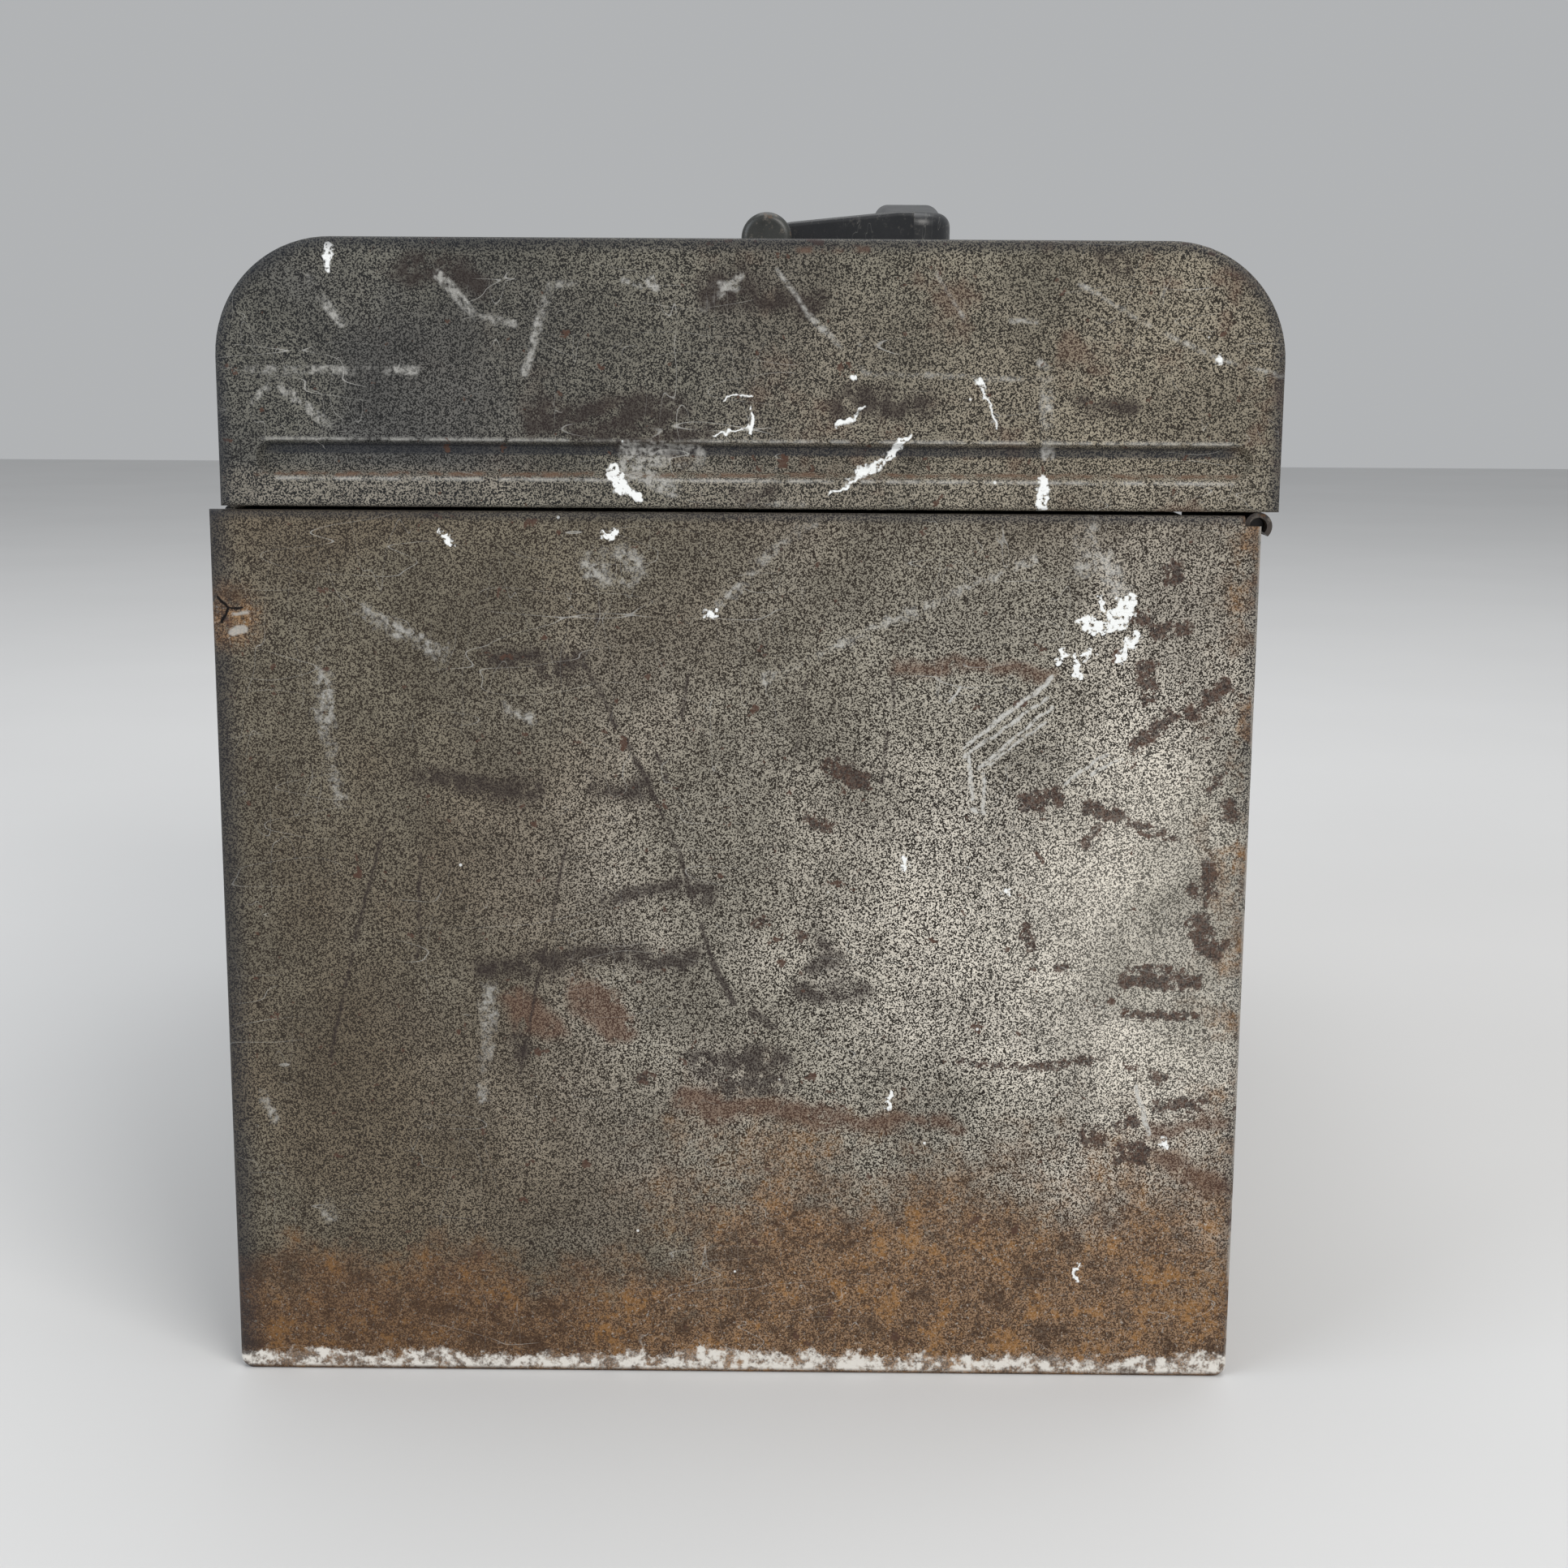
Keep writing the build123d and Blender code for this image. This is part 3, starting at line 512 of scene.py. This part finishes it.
def body_foot_rust(graph, specks):
    """Rust along the panel's foot, highest on the right, and in spots down its right edge."""
    creep = graph.noise(0.07, detail=5.0, roughness=0.7)
    foot = graph.smooth(graph.z - creep * 80, 20, -16) * graph.smooth(graph.x + creep * 60, 0, 45)
    bottom = graph.smooth(graph.z - creep * 44, 8, -8)
    flank = graph.smooth(graph.x + creep * 30, 106, 118) * patchy(graph, 0.12, 0.45, 0.6)
    graph.cover(graph.most(graph.most(foot, bottom), flank) * 0.9, rust(graph, specks), 0.74)
    graph.cover(bottom * graph.smooth(graph.x, 10, -70) * 0.4, RUST_GROUND, 0.74)


def body_stains(graph, specks):
    """Brown stains, then dark smudges."""
    coarse = ragged(graph, 4.0, 0.12)
    stains = strokes(graph, coarse, BODY_RUST, 3.0) * patchy(graph, 0.3, 0.30, 0.48)
    graph.cover(stains * 0.75, graph.mix(specks, CHIP, RUST_STAIN), 0.74)
    smudges = strokes(graph, coarse, BODY_SMUDGE, 3.5) * patchy(graph, 0.35, 0.30, 0.55)
    graph.cover(smudges * 0.8, SMUDGE, 0.4)


def body_marks(graph, hand):
    """Dark lines, chips, scratches, chalky smears and paint splashes, in the order they lie."""
    fine = ragged(graph, 2.4, 0.6)
    lines = strokes(graph, hand, BODY_LINE, 0.8) * patchy(graph, 0.3, 0.34, 0.56)
    graph.cover(lines * 0.8, SMUDGE, 0.5)
    chips = strokes(graph, fine, BODY_CHIP, 0.9) * patchy(graph, 0.5, 0.38, 0.45)
    graph.cover(chips * 0.85, graph.mix(patchy(graph, 1.5, 0.4, 0.6), CHIP, SMUDGE), 0.6)
    graph.cover(patchy(graph, 0.17, 0.655, 0.675) * 0.85, CHIP, 0.6)
    hairlines(graph, (1, 1, 5), 0.45)
    hairlines(graph, (6, 1, 1.4), 0.35)
    smears = strokes(graph, fine, BODY_CHALK, 1.8) * smeared(graph)
    graph.cover(smears * 0.65, CHALK, 0.55)
    scratches = strokes(graph, hand, BODY_SCRATCH, 0.4) * patchy(graph, 1.0, 0.36, 0.56)
    graph.cover(scratches, CHALK, 0.5)
    splashes = strokes(graph, fine, BODY_PAINT, 0.4) * patchy(graph, 0.8, 0.40, 0.47)
    graph.cover(splashes, PAINT, 0.4)
    flecks(graph)


def body_tear(graph, hand, specks):
    """The split in the front corner: rust round it, bright metal, then the split itself."""
    skin = graph.smooth(distance(graph, -98, 156), 9, 3) * patchy(graph, 0.4, 0.30, 0.55)
    graph.cover(skin * 0.75, rust(graph, specks), 0.7)
    graph.cover(strokes(graph, hand, TEAR_METAL, 0.6) * 0.6, CHALK, 0.45)
    graph.cover(strokes(graph, hand, TEAR, 0.35), GAP, 0.9)


def body_rims(graph, drift):
    """Both side edges and the rim darkened, with the rear edge rubbed pale in places."""
    from_front = HALF_WIDTH + graph.x + drift
    from_rear = HALF_WIDTH - graph.x + drift
    front = graph.smooth(from_front, 6.5, 1.0) * 0.65
    rear = graph.smooth(from_rear, 4.0, 0.8) * 0.35
    graph.cover(graph.most(front, rear), SHADE, 0.36)
    rubbed = graph.smooth(from_rear + drift, 1.9, 1.1) * patchy(graph, 0.12, 0.42, 0.56)
    graph.cover(rubbed * 0.45, CHALK, 0.42)
    graph.cover(graph.smooth(RIM - graph.z, 2.4, 0.6) * 0.5, SHADE, 0.36)


def body_scrape(graph):
    """The pale strip along the foot where the finish is scraped off."""
    thinner = graph.smooth(graph.x, -110, -20) * 0.07
    torn = graph.noise(0.07, detail=6.0, roughness=0.8) + thinner
    scrape = graph.smooth(graph.z - 16 * torn, -4.1, -5.6) * graph.smooth(graph.z, 0.4, 1.4)
    kept = graph.blend(patchy(graph, 0.5, 0.42, 0.6), 1.0, 0.1)
    graph.cover(scrape * outward(graph) * kept, SCRAPED, 0.5)


def body_panel():
    """Near end of the body."""
    graph = Graph("body_panel_enamel")
    drift = graph.noise(0.03, detail=4.0, roughness=0.6)
    hand = ragged(graph, 0.8, 0.3)
    specks = body_ground_and_painted_light(graph, drift)
    body_foot_rust(graph, specks)
    body_stains(graph, specks)
    body_marks(graph, hand)
    body_rims(graph, drift)
    body_tear(graph, hand, specks)
    body_scrape(graph)
    return graph.finish(specular=0.2)


def groove_shade_and_highlights(graph):
    """Painted shade on the groove's upper slope, and painted highlights along its two edges, where
    the enamel is also rubbed thin.
    """
    run = graph.smooth(graph.absolute(graph.x - LID_MIDDLE), 94.5, 91.5) * outward(graph)
    rubbed = patchy(graph, 0.3, 0.36, 0.56) * run
    # Painted shade: the groove's upper slope faces down, away from the light.
    graph.cover(band(graph, GROOVE_TOP - 1.6, 1.0) * run * 0.7, SHADE, 0.4)
    # Painted highlights along the groove's top edge and its foot, which also stand for enamel rubbed
    # thin there.
    graph.cover(band(graph, GROOVE_TOP + 0.2, 0.3) * rubbed * 0.45, CHALK, 0.42)
    graph.cover(band(graph, GROOVE_FOOT - 0.5, 0.25) * rubbed * 0.55, CHALK, 0.42)


def lid_ground_and_painted_light(graph):
    """Painted light: charcoal and cool on the left, browner and brighter to the right, where the
    light falls. Lighter low down under the groove, with brown stains to the right.
    """
    specks = speckle_and_glints(graph)
    # Painted light: this gradient takes the lid from cool charcoal on the left to a lit brown on the
    # right.
    across = graph.smooth(graph.x + 50 * graph.noise(0.03, detail=3.0), -60, 110)
    low = graph.smooth(graph.z, 186.5, 182.5)
    light = graph.mix(across, (0.112, 0.110, 0.104), (0.320, 0.280, 0.212))
    light = graph.mix(low * 0.5, light, (0.43, 0.385, 0.310))
    dark = graph.mix(across, (0.013, 0.013, 0.013), (0.020, 0.016, 0.011))
    wrinkle(graph, specks, dark, light, 0.48)
    stained = graph.mix(specks, CHIP, RUST_STAIN)
    graph.cover(patchy(graph, 0.06, 0.54, 0.66) * across * 0.5, stained, 0.7)


def lid_marks(graph):
    """Rust in the creases, smudges, chips, scratches, chalky smears and paint splashes."""
    coarse = ragged(graph, 4.0, 0.12)
    fine = ragged(graph, 1.6, 0.5)
    hand = ragged(graph, 0.5, 0.3)
    creases = strokes(graph, hand, LID_RUST, 0.9) * patchy(graph, 0.3, 0.36, 0.6)
    graph.cover(creases * 0.8, RUST_STAIN, 0.74)
    smudges = strokes(graph, coarse, LID_SMUDGE, 3.5) * patchy(graph, 0.35, 0.30, 0.55)
    graph.cover(smudges * 0.8, SMUDGE, 0.4)
    graph.cover(patchy(graph, 0.17, 0.66, 0.68) * 0.85, CHIP, 0.6)
    hairlines(graph, (1, 1, 5), 0.5)
    hairlines(graph, (6, 1, 1.4), 0.4)
    smears = strokes(graph, hand, LID_CHALK, 0.8) * smeared(graph)
    graph.cover(smears * 0.65, CHALK, 0.55)
    splashes = strokes(graph, fine, LID_PAINT, 0.4) * patchy(graph, 0.8, 0.38, 0.46)
    graph.cover(splashes, PAINT, 0.4)
    flecks(graph)


def lid_panel():
    """Near end of the lid."""
    graph = Graph("lid_panel_enamel")
    lid_ground_and_painted_light(graph)
    groove_shade_and_highlights(graph)
    lid_marks(graph)
    graph.cover(graph.smooth(lid_depth(graph), 3.4, 0.6) * 0.6, SHADE, 0.32)
    return graph.finish(specular=0.2)


def body_paint():
    """The rest of the body's sheet metal."""
    graph = Graph("body_enamel")
    specks = speckle_and_glints(graph)
    wrinkle(graph, specks, (0.022, 0.017, 0.012), (0.300, 0.255, 0.200), 0.5)
    edge_rust(graph, specks, foot_edges(graph), 22)
    scattered_wear_and_edge_shade(graph, box_edges(graph))
    return graph.finish(specular=0.2)


def lid_paint():
    """The rest of the lid's sheet metal."""
    graph = Graph("lid_enamel")
    wrinkle(graph, speckle_and_glints(graph), (0.015, 0.014, 0.013), (0.230, 0.215, 0.190), 0.48)
    scattered_wear_and_edge_shade(graph, lid_edges(graph))
    return graph.finish(specular=0.2)


# ---------------------------------------------------------------- other materials


def rust_crust(graph):
    """Solid rust on bare steel."""
    crumbs = graph.noise(0.8, detail=4.0, roughness=0.7)
    return graph.mix(crumbs, (0.045, 0.022, 0.012), (0.26, 0.125, 0.045))


def handle_plastic():
    """Black moulded plastic, gone grey with handling."""
    graph = Graph("handle_plastic")
    haze = graph.noise(0.12, detail=4.0, roughness=0.6)
    black = graph.mix(haze, (0.004, 0.005, 0.007), (0.015, 0.016, 0.019))
    graph.coat(black, graph.blend(haze, 0.26, 0.46))
    hair = graph.noise(0.12, detail=2.0, at=graph.stretched(4, 1, 1))
    scratch = graph.smooth(graph.absolute(hair - 0.5), 0.008, 0.002)
    handled = graph.smooth(graph.noise(0.09, detail=3.0), 0.48, 0.58)
    graph.cover(scratch * handled * 0.5, (0.16, 0.16, 0.15), 0.55, height=-0.01)
    dust = graph.smooth(graph.noise(0.9, detail=3.0, roughness=0.7), 0.56, 0.72)
    graph.cover(dust * 0.25, (0.15, 0.14, 0.12), 0.7)
    graph.raise_by(graph.noise(1.1, detail=3.0) * 0.012)
    return graph.finish()


def dark_steel(name, ground, sheen, rusted):
    """Lacquered fittings, worn through in spots. rusted is how far the rust has got, 0 to 1."""
    graph = Graph(name)
    cloud = graph.noise(0.18, detail=4.0, roughness=0.6)
    graph.coat(graph.mix(cloud, ground, sheen), graph.blend(cloud, 0.26, 0.5))
    worn = patchy(graph, 0.5, 0.57, 0.66)
    graph.cover(worn * 0.7, (0.17, 0.15, 0.13), 0.42, metal=0.6)
    bloom = patchy(graph, 0.28, 0.68 - 0.12 * rusted, 0.76 - 0.12 * rusted)
    graph.cover(bloom * 0.8, rust_crust(graph), 0.8, height=0.02)
    graph.raise_by(graph.noise(1.6, detail=3.0) * 0.015)
    return graph.finish()


def bare_steel():
    """Plated clasp steel, dulled and spotted."""
    graph = Graph("bare_steel")
    brushed = graph.noise(0.9, detail=3.0, roughness=0.6, at=graph.stretched(1, 4, 0.25))
    plating = graph.mix(brushed, (0.20, 0.19, 0.18), (0.40, 0.385, 0.36))
    graph.coat(plating, graph.blend(brushed, 0.30, 0.46), 0.9)
    tarnish = graph.smooth(graph.noise(0.16, detail=4.0, roughness=0.6), 0.44, 0.66)
    graph.cover(tarnish * 0.6, (0.085, 0.072, 0.060), 0.5, metal=0.5)
    spots = graph.smooth(graph.noise(0.55, detail=5.0, roughness=0.72), 0.58, 0.66)
    graph.cover(spots * 0.85, rust_crust(graph), 0.8, height=0.02)
    graph.raise_by(brushed * 0.008)
    return graph.finish()


def floor_paint():
    """Pale matt studio floor with a trace of unevenness."""
    graph = Graph("floor_paint")
    cloud = graph.noise(0.004, detail=3.0)
    graph.coat(graph.mix(cloud, (0.60, 0.60, 0.60), (0.66, 0.66, 0.66)), 0.72)
    graph.raise_by(graph.noise(0.4, detail=3.0) * 0.02)
    return graph.finish()


def dress(names, material):
    """Gives a material to every slot of some of the frame's nodes."""
    for name in names:
        for slot in NODES[name].material_slots:
            slot.material = material


# ---------------------------------------------------------------- stage


# Camera: metres, millimetres of focal length on a 36 mm sensor, and degrees.
CAMERA_PLACE = (0.01315, -0.612, 0.2058)
CAMERA_LENS = 53.1
CAMERA_DIP = 10.43
CAMERA_YAW = 0.425
CAMERA_ROLL = 0.35

FLOOR_SIZE = 8.0
LIGHTS_AIM = (0, 0, 0.12)


def add_floor():
    bpy.ops.mesh.primitive_plane_add(size=FLOOR_SIZE, location=(0, 0, 0))
    floor = bpy.context.object
    floor.name = "studio_floor"
    floor.data.materials.append(floor_paint())


def add_camera():
    """The photograph's viewpoint: just above the parting line, close to the near end."""
    data = bpy.data.cameras.new("camera")
    data.sensor_width = 36.0
    data.lens = CAMERA_LENS
    camera = bpy.data.objects.new("camera", data)
    bpy.context.collection.objects.link(camera)
    camera.location = CAMERA_PLACE
    aim = Euler((radians(90 - CAMERA_DIP), 0, radians(CAMERA_YAW))).to_matrix()
    camera.rotation_euler = (aim @ Matrix.Rotation(radians(CAMERA_ROLL), 3, "Z")).to_euler()
    bpy.context.scene.camera = camera


def add_light(name, place, size, power, colour):
    """A square softbox that faces the box."""
    data = bpy.data.lights.new(name, "AREA")
    data.size = size
    data.energy = power
    data.color = colour
    light = bpy.data.objects.new(name, data)
    light.location = place
    light.rotation_euler = (Vector(LIGHTS_AIM) - Vector(place)).to_track_quat("-Z", "Y").to_euler()
    bpy.context.collection.objects.link(light)


def add_world():
    world = bpy.data.worlds.new("studio")
    world.use_nodes = True
    sky = world.node_tree.nodes["Background"]
    sky.inputs["Color"].default_value = (0.92, 0.94, 0.96, 1)
    sky.inputs["Strength"].default_value = 0.48
    bpy.context.scene.world = world
    bpy.context.scene.view_settings.view_transform = "Standard"


body_enamel = body_paint()
lid_enamel = lid_paint()
hinge_steel = dark_steel("hinge_steel", (0.010, 0.007, 0.006), (0.060, 0.045, 0.036), 1.0)
saddle_steel = dark_steel("saddle_steel", (0.012, 0.013, 0.012), (0.050, 0.052, 0.048), 0.2)
plated_steel = bare_steel()
dress(["body_end_right"], body_panel())
dress(["lid_end_right"], lid_panel())
dress(["body_wrapper", "body_end_left"], body_enamel)
dress(["lid_wrapper", "lid_end_left"], lid_enamel)
dress(["handle_grip"], handle_plastic())
dress(["handle_saddle_right", "handle_saddle_left", "handle_rivets", "handle_pins"], saddle_steel)
dress(["hinge_leaf_body", "hinge_leaf_lid", "hinge_pin"], hinge_steel)
dress(["hinge_rivets_body", "hinge_rivets_lid", "latch_rivets", "strike_rivets"], hinge_steel)
dress(["handle_plate_right", "handle_plate_left"], plated_steel)
for side in ("right", "left"):
    for piece in ("latch_base", "clasp", "clasp_pin", "strike"):
        dress([f"{piece}_{side}"], plated_steel)

add_floor()
add_camera()
add_light("key", (1.3, -1.9, 1.7), 1.4, 44, (1.0, 0.97, 0.93))
add_light("fill", (-1.8, -1.2, 1.1), 1.6, 20, (0.88, 0.94, 1.0))
add_light("top", (0.1, 0.3, 2.0), 1.6, 18, (1.0, 1.0, 1.0))
add_world()
